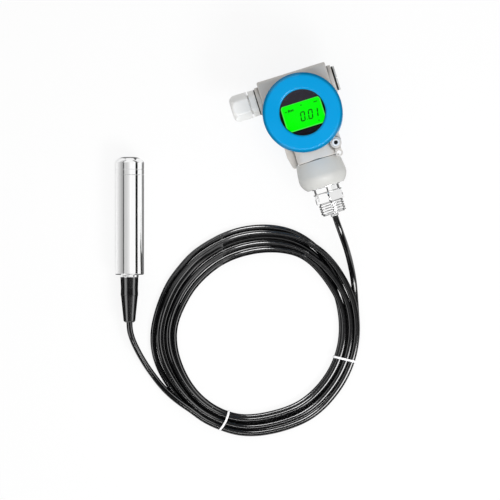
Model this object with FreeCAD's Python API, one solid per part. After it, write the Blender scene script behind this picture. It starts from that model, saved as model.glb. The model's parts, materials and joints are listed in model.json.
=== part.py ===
import FreeCAD, Part
import math
import os
from FreeCAD import Placement, Rotation, Vector

# Water level sensor: a display head, a submersible probe and the coiled cable between them.
# Millimetres. The head lies on its rear cover with the display up. The origin is the centre of the
# rear cover's flat back, +Z points out through the display, the neck runs along -Y and the gland along -X.

# Clearances
cover_gap = 0.4
thread_play = 0.3
seat_play = 0.1
seal_play = 0.3
screw_play = 0.1

# Covers: the cover's diameter sets the barrel, the threads, the window and the conduits' span
cover_dia = 76.0
cover_overhang = 1.5
cover_chamfer_width = 3.2
cover_chamfer_height = 2.2
front_cover_height = 23.6
rear_cover_height = 19.6
front_plate = 5.0
rear_plate = 4.0
barrel_wall = 3.5
cover_thread_length = 8.0
spigot_wall = 3.0
o_ring_section = 1.5
o_ring_seat_depth = 2.0

# Window
cover_rim = 16.0
window_bevel = 1.2
glass_lap = 4.0
glass_thickness = 6.0
window_gasket_thickness = 0.8
retainer_height = 3.2
retainer_wall = 3.5
retainer_notch = 3.0

# Housing
chamber_step = 2.0
thread_runout = 1.8
partition_thickness = 2.6
partition_margin = 0.6
feedthrough_dia = 7.0
feedthrough_y = 16.0
axis_above_back = 23.0
conduit_thread_dia = 20.0
conduit_boss_wall = 3.8
conduit_boss_edge = 0.8
conduit_depth = 24.0
block_end_step = 4.0
block_rise = 4.2
block_over_boss = 4.1
block_side = 1.7
block_edge = 4.0
block_end_edge = 1.5
neck_width = 38.0
neck_side = 1.0
neck_length = 9.8
neck_corner = 8.0
neck_edge = 0.8
neck_wall = 6.0
neck_thread_length = 14.0
neck_passage_dia = 16.0

# Cover lock bosses: an eyelet lug on the front one, a plain tapered ear on the rear one
lock_offset = 2.7
lock_clear_of_cover = 4.2
lock_boss_dia = 10.8
lock_boss_drop = 1.5
lock_rib_length = 14.0
lock_rib_drop = 1.0
lock_head_dia = 7.2
lock_head_height = 4.0
lock_head_proud = 1.0
lock_shank_dia = 4.0
lock_shank_length = 9.0
lock_socket = 3.2
lock_socket_depth = 3.0
eyelet_pitch = 10.1
eyelet_dia = 4.2
eyelet_wall = 1.6
lug_arm_width = 6.4
lug_thickness = 5.0
lug_step = 5.5
ear_pitch = 9.6
ear_lean = 0.7
ear_tip_dia = 5.2
ear_thickness = 12.0

# Display and boards
display_gap = 0.6
bezel_lap = 1.8
bezel_thickness = 1.6
view_margin = 0.7
view_top_band = 11.3
view_bottom_band = 5.9
lcd_margin = 0.8
lcd_corner = 0.8
lcd_thickness = 2.2
backlight_thickness = 2.0
board_clear = 2.0
board_thickness = 1.6
main_board_lift = 5.0
spacer_dia = 4.8
spacer_inset = 3.0
spacer_angles = (45.0, 135.0, 270.0)
board_screw_dia = 2.5
board_screw_head_dia = 4.0
board_screw_head_height = 1.6
board_screw_length = 4.0

# Terminal block
terminal_length = 36.0
terminal_width = 12.0
terminal_height = 11.0
terminal_y = -8.0
terminal_pitch = 11.0
terminal_well_dia = 6.4
terminal_well_depth = 4.0
terminal_screw_head_dia = 5.6
terminal_screw_head_height = 2.4
terminal_screw_dia = 3.0
terminal_screw_length = 5.0
wire_entry_dia = 3.2

# Gland: its steps are measured from the conduit's thread
gland_gasket_thickness = 1.0
gland_gasket_lip = 2.4
gland_hex_lip = 1.5
gland_hex_round = 1.1
gland_hex_length = 6.1
gland_spigot_length = 11.0
gland_groove_length = 1.3
gland_groove_drop = 0.5
gland_thread_drop = 0.8
gland_thread_length = 9.2
gland_claw_length = 2.5
gland_claw_drop = 1.2
gland_claw_wall = 1.5
gland_nut_length = 17.7
gland_nut_round = 1.4
gland_nut_dome = 7.2
gland_nut_nose_drop = 3.0
gland_nut_gap = 1.4
gland_seal_wall = 1.6
gland_seal_length = 11.0

# Blanking plug
plug_gasket_lip = 1.8
plug_gasket_thickness = 1.6
plug_flange_lip = 2.0
plug_flange_thickness = 1.5
plug_spigot_length = 10.0
plug_edge = 0.5
plug_slot_width = 2.0
plug_slot_depth = 0.8

# Adapter under the neck: its swell is measured from the neck's side
adapter_gasket_inset = 1.0
adapter_gasket_thickness = 0.4
adapter_lip = 2.3
adapter_shoulder_swell = 3.4
adapter_shoulder_at = 6.3
adapter_belly_swell = 4.4
adapter_belly_at = 14.8
adapter_waist_swell = 3.2
adapter_waist_at = 20.9
adapter_foot_inset = 1.2
adapter_length = 26.4
adapter_passage_dia = 8.0

# Steel fitting
fitting_spigot_dia = 18.0
fitting_spigot_length = 11.5
fitting_flats = 27.0
fitting_hex_round = 0.4
fitting_hex_length = 9.6
collar_lip = 0.35
collar_length = 4.6
collar_edge = 0.6
relief_depth = 1.4
relief_length = 1.0
fitting_thread_dia = 23.8
fitting_thread_length = 12.0
fitting_thread_chamfer = 0.8
wire_bore_ledge = 0.3
bush_wall = 0.8
bush_length = 2.4

# Probe
probe_turn = 17.3
probe_nose_x = -172.0
probe_nose_y = 10.2
probe_dia = 28.0
probe_wall = 2.3
probe_length = 113.2
nose_length = 17.0
nose_joint = 0.3
nose_flat_inset = 8.8
nose_dome_height = 5.2
nose_dome_mid_inset = 3.5
nose_dome_mid_height = 1.5
nose_wall = 4.0
nose_inlet_dia = 6.0
nose_spigot_wall = 1.4
nose_thread_length = 8.0
nose_line_at = 12.0
nose_line_width = 0.8
nose_line_depth = 0.4
nose_groove_width = 2.2
nose_groove_depth = 1.5
tube_edge = 0.8
tail_wall = 4.0
capsule_gap = 1.0
capsule_length = 12.0
capsule_play = 0.2
capsule_rim = 3.5
capsule_recess_depth = 0.8
capsule_groove_at = 6.0
probe_board_inset = 2.7
probe_board_length = 45.0
probe_board_thickness = 1.6

# Tail plug and strain relief boot
tail_step = 5.0
tail_flange = 2.4
tail_ledge = 1.0
tail_spigot_length = 9.0
nipple_step = 3.0
nipple_length = 10.0
boot_length = 43.4
boot_top_step = 0.35
boot_waist_step = 0.45
boot_waist_at = 10.5
boot_sleeve_step = 0.25
boot_sleeve_at = 17.5
boot_step = 0.3
boot_tip_wall = 2.7
boot_tip_round = 1.4
boot_grip = 2.0

# Cable, coil and ties
cable_dia = 5.8
coil_layers = 2
coil_centre_x = -105.2
coil_centre_y = -185.2
coil_dia = 202.4
coil_hole_x = -104.0
coil_hole_y = -188.5
coil_hole_dia = 156.0
coil_round = 4.0
probe_lead_straight = 6.2
tie_angles = (-35.4, -126.8)
tie_width = 2.4
tie_thickness = 1.0
head_lead_points = [
    Vector(0.2, -110.5, 43.0),
    Vector(0.7, -122.0, 39.4),
    Vector(1.1, -133.0, 31.2),
    Vector(0.9, -144.0, 20.6),
    Vector(0.0, -155.5, 11.0),
    Vector(-1.6, -168.0, 4.9),
    Vector(-4.2, -180.0, 2.9),
]
probe_lead_points = [
    Vector(-187.7, -240.1, 8.7),
    Vector(-195.6, -230.6, 8.4),
    Vector(-202.7, -220.3, 7.0),
    Vector(-208.6, -209.2, 4.6),
    Vector(-212.9, -198.0, 3.2),
    Vector(-216.6, -186.5, 4.4),
    Vector(-219.3, -174.8, 7.6),
    Vector(-221.1, -163.4, 11.4),
    Vector(-221.65, -153.6, 13.35),
]

# Diameters that follow the cover
barrel_dia = cover_dia - 2 * cover_overhang
cover_thread_dia = barrel_dia - 2 * barrel_wall
cover_bore = cover_thread_dia - 2 * spigot_wall
o_ring_seat_dia = cover_thread_dia + 2 * (o_ring_section + 2 * seal_play)
chamber_dia = cover_thread_dia - 2 * chamber_step
window_dia = cover_dia - 2 * cover_rim
glass_dia = window_dia + 2 * glass_lap
retainer_bore = glass_dia - 2 * retainer_wall
bezel_dia = window_dia + 2 * bezel_lap
view_dia = window_dia - 2 * view_margin
view_height = window_dia - view_top_band - view_bottom_band
view_centre_y = (view_bottom_band - view_top_band) / 2
board_dia = cover_bore - 2 * board_clear
spacer_circle = board_dia - 2 * spacer_inset

# Levels up the head
housing_back = rear_cover_height + cover_gap
axis_height = housing_back + axis_above_back
partition_back = axis_height + conduit_thread_dia / 2 + partition_margin
partition_front = partition_back + partition_thickness
housing_front = partition_front + cover_thread_length + thread_runout
front_cover_base = housing_front + cover_gap
head_top = front_cover_base + front_cover_height
glass_top = head_top - front_plate - window_gasket_thickness
glass_base = glass_top - glass_thickness
retainer_base = glass_base - retainer_height
bezel_top = retainer_base - display_gap
lcd_top = bezel_top - bezel_thickness
backlight_top = lcd_top - lcd_thickness
display_board_top = backlight_top - backlight_thickness
main_board_top = partition_front + main_board_lift + board_thickness

# Block, conduits and lock bosses of the housing
conduit_boss_dia = conduit_thread_dia + 2 * conduit_boss_wall
block_width = cover_dia - 2 * block_end_step
block_top = barrel_dia / 2 + block_rise
block_depth = conduit_boss_dia + 2 * block_side
conduit_y = block_top - block_over_boss - conduit_boss_dia / 2
conduit_left = Vector(-cover_dia / 2, conduit_y, axis_height)
conduit_right = Vector(cover_dia / 2, conduit_y, axis_height)
lock_x = neck_width / 2 + lock_offset
lock_y = -math.sqrt((cover_dia / 2 + lock_clear_of_cover) ** 2 - lock_x ** 2)
lock_top = housing_front - lock_boss_drop
lock_seat = lock_top + lock_head_proud - lock_head_height
lug_dia = eyelet_dia + 2 * eyelet_wall

# Gland and plug, outwards from the conduit's face
gland_flats = conduit_thread_dia + 2 * gland_hex_lip
gland_thread_dia = conduit_thread_dia - 2 * gland_thread_drop
gland_claw_dia = gland_thread_dia - 2 * gland_claw_drop
gland_bore = gland_claw_dia - 2 * gland_claw_wall
gland_seal_dia = gland_bore - 2 * seal_play
gland_nut_corner_dia = gland_flats + 2 * gland_nut_round
gland_nut_nose_dia = gland_flats - 2 * gland_nut_nose_drop
gland_nut_hole = gland_bore + 2 * seal_play
gland_hex_end = gland_gasket_thickness + gland_hex_length
gland_thread_end = gland_hex_end + gland_groove_length + gland_thread_length
gland_claw_end = gland_thread_end + gland_claw_length
gland_nut_at = gland_hex_end + gland_nut_gap
gland_nut_end = gland_nut_at + gland_nut_length
plug_flange_at = plug_gasket_thickness + 2 * seat_play
plug_flange_dia = conduit_thread_dia + 2 * plug_flange_lip

# Neck, adapter and fitting, down from the barrel
neck_depth = neck_width + 2 * neck_side
neck_thread_dia = neck_width - 2 * neck_wall
neck_end = barrel_dia / 2 + neck_length
adapter_top = neck_end + adapter_gasket_thickness
fitting_top = adapter_top + adapter_length
collar_dia = fitting_flats + 2 * collar_lip
fitting_corner_dia = 2 * (fitting_flats / math.sqrt(3) - fitting_hex_round)
relief_dia = fitting_thread_dia - 2 * relief_depth
fitting_thread_at = collar_length + fitting_hex_length + relief_length
fitting_length = fitting_thread_at + fitting_thread_length
cable_exit = fitting_top + fitting_length

# Probe, from its nose to the cable
probe_nose = Vector(probe_nose_x, probe_nose_y, probe_dia / 2)
probe_axis = Vector(-math.sin(math.radians(probe_turn)), -math.cos(math.radians(probe_turn)), 0)
probe_bore = probe_dia - 2 * probe_wall
nose_thread_dia = probe_bore - 2 * thread_play
nose_groove_dia = nose_thread_dia - 2 * nose_groove_depth
nose_cavity_dia = nose_groove_dia - 2 * nose_spigot_wall
tube_start = nose_length + nose_joint
capsule_at = nose_length + nose_thread_length + capsule_gap
capsule_dia = probe_bore - 2 * capsule_play
tail_dia = probe_dia - 2 * tail_step
tail_spigot_dia = tail_dia - 2 * tail_ledge
nipple_dia = tail_dia - 2 * nipple_step
boot_top_dia = tail_dia - 2 * boot_top_step
boot_at = probe_length + tail_flange
boot_end = boot_at + boot_length
coil_height = coil_layers * cable_dia

X = Vector(1, 0, 0)
Y = Vector(0, 1, 0)
Z = Vector(0, 0, 1)


def rod(dia, low, high, x=0.0, y=0.0):
    """Round bar up the Z direction."""
    return Part.makeCylinder(dia / 2, high - low, Vector(x, y, low))


def pipe(dia, bore, low, high):
    """Round bar about Z with a hole along it."""
    return rod(dia, low, high).cut(rod(bore, low, high))


def turned(*outline):
    """Solid of revolution about Z from (diameter, height) corners. A pair of corners is an arc: through, to."""
    def corner(point):
        return Vector(point[0] / 2, 0, point[1])

    edges = []
    here = corner(outline[0])
    for step in outline[1:] + outline[:1]:
        if isinstance(step[0], tuple):
            through, end = corner(step[0]), corner(step[1])
            edges.append(Part.Arc(here, through, end).toShape())
        else:
            end = corner(step)
            edges.append(Part.LineSegment(here, end).toShape())
        here = end
    return Part.Face(Part.Wire(edges)).revolve(Vector(0, 0, 0), Z, 360)


def hexagon(flats, low, high):
    """Hexagonal bar up Z with a corner on the Y axis."""
    radius = flats / math.sqrt(3)
    angles = [math.radians(30 + 60 * k) for k in range(7)]
    corners = [Vector(radius * math.cos(a), radius * math.sin(a), low) for a in angles]
    return Part.Face(Part.makePolygon(corners)).extrude(Z * (high - low))


def torus(centre_dia, section, height):
    """O-ring about Z."""
    return Part.makeTorus(centre_dia / 2, section / 2, Vector(0, 0, height), Z)


def box(size, low):
    return Part.makeBox(size.x, size.y, size.z, low)


def rounded(shape, direction, radius):
    """Round the straight edges of a block that run along a direction."""
    edges = [e for e in shape.Edges if abs(e.tangentAt(e.FirstParameter).dot(direction)) > 0.99]
    return shape.makeFillet(radius, edges)


def end_rounded(shape, direction, distance, radius):
    """Round the edges of the end face that stands at a distance along a direction."""
    edges = [e for e in shape.Edges if all(abs(v.Point.dot(direction) - distance) < 1e-6 for v in e.Vertexes)]
    return shape.makeFillet(radius, edges)


def tapered_arm(near, far, low, high):
    """Flat arm between two round ends, each given as (x, y, diameter)."""
    along = Vector(far[0] - near[0], far[1] - near[1], 0)
    lean = (near[2] - far[2]) / 2 / along.Length
    along.normalize()
    across = Vector(-along.y, along.x, 0) * math.sqrt(1 - lean ** 2)
    corners = []
    for (x, y, dia), side in ((near, 1), (near, -1), (far, -1), (far, 1)):
        corners.append(Vector(x, y, low) + (along * lean + across * side) * (dia / 2))
    plate = Part.Face(Part.makePolygon(corners + corners[:1])).extrude(Z * (high - low))
    return plate.fuse([rod(near[2], low, high, near[0], near[1]), rod(far[2], low, high, far[0], far[1])])


def around(centres, make):
    """One compound of separate solids, made at each of some (x, y) places."""
    return Part.Compound([make(x, y) for x, y in centres])


def seated(shape, at, direction):
    """A shape that was built up the Z axis, turned to a direction and set at a point."""
    placed = shape.copy()
    placed.Placement = Placement(at, Rotation(Z, direction)).multiply(shape.Placement)
    return placed


def on_neck(shape, distance):
    return seated(shape, Vector(0, -distance, axis_height), -Y)


def on_probe(shape):
    return seated(shape, probe_nose, probe_axis)


def turned_over(shape):
    """The same shape on the other side of the head, half a turn about the neck's axis."""
    other = shape.copy()
    other.rotate(Vector(0, 0, axis_height), Y, 180)
    return other


spacer_places = [
    (spacer_circle / 2 * math.cos(math.radians(a)), spacer_circle / 2 * math.sin(math.radians(a)))
    for a in spacer_angles
]
terminal_places = [((k - 1) * terminal_pitch, terminal_y) for k in range(3)]


# Housing: one die casting with two threaded chambers, conduit block, neck, lock bosses, lug and ear
def lock_boss():
    """Boss of a lock screw and the rib that ties it to the barrel."""
    boss = rod(lock_boss_dia, axis_height, lock_top, lock_x, lock_y)
    rib = box(Vector(lock_boss_dia, lock_rib_length, lock_top - lock_rib_drop - axis_height),
              Vector(lock_x - lock_boss_dia / 2, lock_y, axis_height))
    return boss.fuse(rib)


def eyelet_lug():
    """Flat lug in front of the boss, a step lower, with a narrower arm behind its round end."""
    lug_top = lock_top - lug_step
    lug_y = lock_y - eyelet_pitch
    lug = rod(lug_dia, lug_top - lug_thickness, lug_top, lock_x, lug_y)
    arm = box(Vector(lug_arm_width, eyelet_pitch, lug_thickness),
              Vector(lock_x - lug_arm_width / 2, lug_y, lug_top - lug_thickness))
    return lug.fuse(arm)


def plain_ear():
    """Tapered web from the boss out to a small round tip."""
    tip = (lock_x + ear_lean, lock_y - ear_pitch, ear_tip_dia)
    return tapered_arm((lock_x, lock_y, lock_boss_dia), tip, axis_height, axis_height + ear_thickness)


def lock_hole():
    """Screw hole with a recess for the head."""
    recess = rod(lock_head_dia + 2 * seat_play, lock_seat, lock_top, lock_x, lock_y)
    return recess.fuse(rod(lock_shank_dia + 2 * screw_play, lock_seat - lock_shank_length, lock_top, lock_x, lock_y))


def conduit_block():
    """Block across the top of the barrel, with a round boss at each end."""
    block = box(Vector(block_width, block_top, block_depth),
                Vector(-block_width / 2, 0, axis_height - block_depth / 2))
    block = rounded(block, X, block_edge)
    block = end_rounded(block, X, block_width / 2, block_end_edge)
    block = end_rounded(block, -X, block_width / 2, block_end_edge)
    bosses = rod(conduit_boss_dia, 0, cover_dia)
    bosses = end_rounded(bosses, Z, cover_dia, conduit_boss_edge)
    bosses = end_rounded(bosses, Z, 0, conduit_boss_edge)
    return block.fuse(seated(bosses, conduit_left, X))


def neck():
    block = box(Vector(neck_width, neck_end, neck_depth),
                Vector(-neck_width / 2, -neck_end, axis_height - neck_depth / 2))
    return end_rounded(rounded(block, Y, neck_corner), -Y, neck_end, neck_edge)


def housing():
    barrel = rod(barrel_dia, housing_back, housing_front)
    boss = lock_boss()
    body = barrel.fuse([conduit_block(), neck(), boss, eyelet_lug(), turned_over(boss.fuse(plain_ear()))])

    thread_bore = cover_thread_dia + 2 * thread_play
    front = rod(thread_bore, partition_front, housing_front)
    front_seat = rod(o_ring_seat_dia, housing_front - o_ring_seat_depth, housing_front)
    rear = rod(thread_bore, housing_back, housing_back + cover_thread_length + thread_runout)
    rear_seat = rod(o_ring_seat_dia, housing_back, housing_back + o_ring_seat_depth)
    chamber = rod(chamber_dia, housing_back, partition_back)
    conduit = rod(conduit_thread_dia, 0, conduit_depth)
    left = seated(conduit, conduit_left, X)
    right = seated(conduit, conduit_right, -X)
    neck_thread = on_neck(rod(neck_thread_dia + 2 * seat_play, -neck_thread_length - thread_runout, 0), neck_end)
    neck_passage = on_neck(rod(neck_passage_dia, -neck_end + chamber_dia / 4, 0), neck_end)
    feedthrough = rod(feedthrough_dia, partition_back, partition_front, 0, feedthrough_y)
    eyelet = rod(eyelet_dia, axis_height, lock_top, lock_x, lock_y - eyelet_pitch)
    return body.cut([front, front_seat, rear, rear_seat, chamber, left, right, neck_thread, neck_passage,
                     feedthrough, eyelet, lock_hole(), turned_over(lock_hole())])


def lock_screws():
    head_top_level = lock_seat + lock_head_height
    screw = rod(lock_head_dia, lock_seat, head_top_level, lock_x, lock_y)
    screw = screw.fuse(rod(lock_shank_dia, lock_seat - lock_shank_length, lock_seat, lock_x, lock_y))
    socket = hexagon(lock_socket, head_top_level - lock_socket_depth, head_top_level)
    socket.translate(Vector(lock_x, lock_y, 0))
    screw = screw.cut(socket)
    return Part.Compound([screw, turned_over(screw)])


# Covers, each with a threaded spigot, and the window
def front_cover():
    pocket = glass_dia + 2 * seat_play
    spigot_end = housing_front - cover_thread_length
    return turned(
        (cover_bore, spigot_end), (cover_thread_dia, spigot_end), (cover_thread_dia, front_cover_base),
        (cover_dia, front_cover_base), (cover_dia, head_top - cover_chamfer_height),
        (cover_dia - 2 * cover_chamfer_width, head_top),
        (window_dia + 2 * window_bevel, head_top), (window_dia, head_top - window_bevel),
        (window_dia, head_top - front_plate), (pocket, head_top - front_plate),
        (pocket, retainer_base), (cover_bore, retainer_base - (cover_bore - pocket) / 2))


def rear_cover():
    spigot_end = housing_back + cover_thread_length
    return turned(
        (0, 0), (cover_dia - 2 * cover_chamfer_width, 0), (cover_dia, cover_chamfer_height),
        (cover_dia, rear_cover_height), (cover_thread_dia, rear_cover_height), (cover_thread_dia, spigot_end),
        (cover_bore, spigot_end), (cover_bore, rear_plate), (0, rear_plate))


def cover_o_ring(height):
    return torus(cover_thread_dia + 2 * seal_play + o_ring_section, o_ring_section, height)


def glass_retainer():
    ring = pipe(glass_dia, retainer_bore, retainer_base, glass_base)
    notch = box(Vector(glass_dia, retainer_notch, retainer_height / 2),
                Vector(-glass_dia / 2, -retainer_notch / 2, retainer_base))
    return ring.cut(notch)


# Display unit, from the bezel down to the main board
def panel(width, height, low, high):
    """Upright rectangle at the display's centre."""
    return box(Vector(width, height, high - low), Vector(-width / 2, view_centre_y - height / 2, low))


def display_bezel():
    """Disc with a view that is flat above and below and follows the window at the sides."""
    view = panel(view_dia, view_height, lcd_top, bezel_top).common(rod(view_dia, lcd_top, bezel_top))
    return rod(bezel_dia, lcd_top, bezel_top).cut(view)


def lcd_layer(low, high):
    return rounded(panel(view_dia + 2 * lcd_margin, view_height + 2 * lcd_margin, low, high), Z, lcd_corner)


def board(low):
    """Round circuit board with its three screw holes."""
    disc = rod(board_dia, low, low + board_thickness)
    holes = [rod(board_screw_dia + 2 * screw_play, low, low + board_thickness, x, y) for x, y in spacer_places]
    return disc.cut(holes)


def spacers(low, high):
    def spacer(x, y):
        bore = rod(board_screw_dia + 2 * screw_play, low, high, x, y)
        return rod(spacer_dia, low, high, x, y).cut(bore)

    return around(spacer_places, spacer)


def board_screws():
    def screw(x, y):
        head = rod(board_screw_head_dia, display_board_top, display_board_top + board_screw_head_height, x, y)
        return head.fuse(rod(board_screw_dia, display_board_top - board_screw_length, display_board_top, x, y))

    return around(spacer_places, screw)


# Terminal block on the partition in the rear chamber
def terminal_block():
    base = partition_back - terminal_height
    body = box(Vector(terminal_length, terminal_width, terminal_height),
               Vector(-terminal_length / 2, terminal_y - terminal_width / 2, base))
    cuts = []
    for x, y in terminal_places:
        cuts.append(rod(terminal_well_dia, base, base + terminal_well_depth, x, y))
        cuts.append(rod(terminal_screw_dia + 2 * screw_play, base, base + terminal_well_depth
                        + terminal_screw_length, x, y))
        entry = rod(wire_entry_dia, 0, terminal_width / 2)
        cuts.append(seated(entry, Vector(x, y - terminal_width / 2, base + terminal_height / 2), Y))
    return body.cut(cuts)


def terminal_screws():
    head_base = partition_back - terminal_height + terminal_well_depth

    def screw(x, y):
        head = rod(terminal_screw_head_dia, head_base - terminal_screw_head_height, head_base, x, y)
        return head.fuse(rod(terminal_screw_dia, head_base, head_base + terminal_screw_length, x, y))

    return around(terminal_places, screw)


# Cable gland: heights run outwards from the conduit's face
def gland_gasket():
    return pipe(conduit_thread_dia + 2 * gland_gasket_lip, conduit_thread_dia, 0, gland_gasket_thickness)


def gland_body():
    spigot = conduit_thread_dia - 2 * seat_play
    groove = conduit_thread_dia - 2 * gland_groove_drop
    core = turned(
        (gland_bore, -gland_spigot_length), (spigot, -gland_spigot_length), (spigot, gland_gasket_thickness),
        (groove, gland_gasket_thickness), (groove, gland_hex_end),
        (gland_thread_dia, gland_hex_end + gland_groove_length), (gland_thread_dia, gland_thread_end),
        (gland_claw_dia, gland_claw_end), (gland_bore, gland_claw_end))
    flange = hexagon(gland_flats, gland_gasket_thickness, gland_hex_end)
    blank = pipe(gland_flats + 2 * gland_hex_round, gland_bore, gland_gasket_thickness, gland_hex_end)
    return core.fuse(flange.common(blank))


def gland_dome_nut():
    """Hexagonal nut with a domed nose."""
    dome_at = gland_nut_end - gland_nut_dome
    dome_mid = gland_nut_nose_dia + (gland_nut_corner_dia - gland_nut_nose_dia) * math.sqrt(0.5)
    dome_mid_height = gland_nut_end - gland_nut_dome * (1 - math.sqrt(0.5))
    thread = gland_thread_dia + 2 * thread_play
    taper = (thread - gland_nut_hole) / 2
    blank = turned(
        (thread, gland_nut_at), (gland_nut_corner_dia, gland_nut_at), (gland_nut_corner_dia, dome_at),
        ((dome_mid, dome_mid_height), (gland_nut_nose_dia, gland_nut_end)), (gland_nut_hole, gland_nut_end),
        (gland_nut_hole, gland_claw_end + 2 * taper), (thread, gland_claw_end))
    return blank.common(hexagon(gland_flats, gland_nut_at, gland_nut_end))


def gland_seal():
    bore = gland_seal_dia - 2 * gland_seal_wall
    return pipe(gland_seal_dia, bore, gland_claw_end - gland_seal_length, gland_claw_end)


# Blanking plug: heights run outwards from the conduit's face
def blanking_plug():
    top = plug_flange_at + plug_flange_thickness
    spigot = conduit_thread_dia - 2 * thread_play
    plug = turned(
        (0, -plug_spigot_length), (spigot, -plug_spigot_length), (spigot, plug_flange_at),
        (plug_flange_dia, plug_flange_at), (plug_flange_dia, top - plug_edge),
        (plug_flange_dia - 2 * plug_edge, top), (0, top))
    slot = box(Vector(plug_flange_dia, plug_slot_width, plug_slot_depth),
               Vector(-plug_flange_dia / 2, -plug_slot_width / 2, top - plug_slot_depth))
    return plug.cut(slot)


def plug_gasket():
    return pipe(conduit_thread_dia + 2 * plug_gasket_lip, conduit_thread_dia + 2 * seat_play,
                seat_play, seat_play + plug_gasket_thickness)


# Barrel-shaped adapter under the neck: heights run down from its top
def adapter_gasket():
    return pipe(neck_width - 2 * adapter_gasket_inset, neck_thread_dia + 2 * seat_play, 0, adapter_gasket_thickness)


def adapter():
    shoulder = neck_width + 2 * adapter_shoulder_swell
    belly = neck_width + 2 * adapter_belly_swell
    waist = neck_width + 2 * adapter_waist_swell
    bore_at = adapter_length - fitting_spigot_length
    return turned(
        (adapter_passage_dia, -neck_thread_length), (neck_thread_dia, -neck_thread_length), (neck_thread_dia, 0),
        (neck_width + 2 * adapter_lip, 0), ((shoulder, adapter_shoulder_at), (belly, adapter_belly_at)),
        ((waist, adapter_waist_at), (neck_width - 2 * adapter_foot_inset, adapter_length)),
        (fitting_spigot_dia, adapter_length), (fitting_spigot_dia, bore_at), (adapter_passage_dia, bore_at))


# Steel fitting with collar, hexagon and outside thread: heights run down from its collar
def fitting():
    spigot = fitting_spigot_dia - 2 * seat_play
    crest = fitting_thread_dia - 2 * fitting_thread_chamfer
    wire_bore = cable_dia - 2 * wire_bore_ledge
    core = turned(
        (adapter_passage_dia, -fitting_spigot_length), (spigot, -fitting_spigot_length), (spigot, 0),
        (collar_dia - 2 * collar_edge, 0), (collar_dia, collar_edge), (collar_dia, collar_length),
        (relief_dia, collar_length), (relief_dia, fitting_thread_at),
        (fitting_thread_dia, fitting_thread_at), (fitting_thread_dia, fitting_length - fitting_thread_chamfer),
        (crest, fitting_length), (wire_bore, fitting_length), (wire_bore, fitting_thread_at),
        (adapter_passage_dia, fitting_thread_at))
    hex_end = collar_length + fitting_hex_length
    chamfer = (fitting_corner_dia - fitting_flats) / 4
    blank = turned(
        (adapter_passage_dia, collar_length), (fitting_flats, collar_length),
        (fitting_corner_dia, collar_length + chamfer), (fitting_corner_dia, hex_end - chamfer),
        (fitting_flats, hex_end), (adapter_passage_dia, hex_end))
    return core.fuse(blank.common(hexagon(fitting_flats, collar_length, hex_end)))


def cable_bush():
    bore = cable_dia + seat_play
    return pipe(bore + 2 * bush_wall, bore, fitting_length, fitting_length + bush_length)


# Probe: heights run from the nose to the cable
def nose_cap():
    groove_end = tube_start + nose_groove_width
    line = probe_dia - 2 * nose_line_depth
    thread_end = nose_length + nose_thread_length
    dome_mid = (probe_dia - 2 * nose_dome_mid_inset, nose_dome_mid_height)
    return turned(
        (nose_inlet_dia, 0), (probe_dia - 2 * nose_flat_inset, 0), (dome_mid, (probe_dia, nose_dome_height)),
        (probe_dia, nose_line_at - nose_line_width / 2), (line, nose_line_at),
        (probe_dia, nose_line_at + nose_line_width / 2), (probe_dia, nose_length),
        (nose_groove_dia, nose_length), (nose_groove_dia, groove_end), (nose_thread_dia, groove_end),
        (nose_thread_dia, thread_end), (nose_cavity_dia, thread_end), (nose_cavity_dia, nose_wall),
        (nose_inlet_dia, nose_wall))


def nose_o_ring():
    centre = tube_start + nose_groove_width / 2
    return torus(nose_thread_dia - nose_groove_depth, nose_groove_depth - seal_play, centre)


def probe_tube():
    tail_hole = tail_spigot_dia + 2 * seat_play
    return turned(
        (probe_bore, tube_start), (probe_dia, tube_start), (probe_dia, probe_length - tube_edge),
        (probe_dia - 2 * tube_edge, probe_length), (tail_hole, probe_length),
        (tail_hole, probe_length - tail_wall), (probe_bore, probe_length - tail_wall))


def pressure_capsule():
    groove = capsule_dia - 2 * o_ring_section
    low = capsule_at + capsule_groove_at - o_ring_section
    high = capsule_at + capsule_groove_at + o_ring_section
    rest = capsule_at + capsule_recess_depth
    recess = capsule_dia - 2 * capsule_rim
    return turned(
        (0, rest), (recess, rest), (recess, capsule_at), (capsule_dia, capsule_at),
        (capsule_dia, low), (groove, low), (groove, high), (capsule_dia, high),
        (capsule_dia, capsule_at + capsule_length), (0, capsule_at + capsule_length))


def capsule_o_ring():
    centre = probe_bore - o_ring_section - capsule_play
    return torus(centre, o_ring_section, capsule_at + capsule_groove_at)


def probe_board():
    width = probe_bore - 2 * probe_board_inset
    low = Vector(-width / 2, -probe_board_thickness / 2, capsule_at + capsule_length)
    return box(Vector(width, probe_board_thickness, probe_board_length), low)


def tail_plug():
    return turned(
        (0, probe_length - tail_spigot_length), (tail_spigot_dia, probe_length - tail_spigot_length),
        (tail_spigot_dia, probe_length), (tail_dia, probe_length), (tail_dia, boot_at), (nipple_dia, boot_at),
        (nipple_dia, boot_at + nipple_length), (0, boot_at + nipple_length))


def strain_relief_boot():
    nipple = nipple_dia + 2 * seat_play
    sleeve = boot_top_dia - 2 * boot_sleeve_step
    sleeve_end = boot_at + boot_sleeve_at
    tip = cable_dia + 2 * boot_tip_wall
    grip = cable_dia + seat_play
    return turned(
        (nipple, boot_at), (boot_top_dia, boot_at), (boot_top_dia - 2 * boot_waist_step, boot_at + boot_waist_at),
        (sleeve, sleeve_end), (sleeve - 2 * boot_step, sleeve_end + boot_step),
        (tip, boot_end - boot_tip_round), (tip - 2 * boot_tip_round, boot_end), (grip, boot_end),
        (grip, boot_end - boot_grip), (0, boot_end - boot_grip), (0, boot_at + nipple_length),
        (nipple, boot_at + nipple_length))


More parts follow.
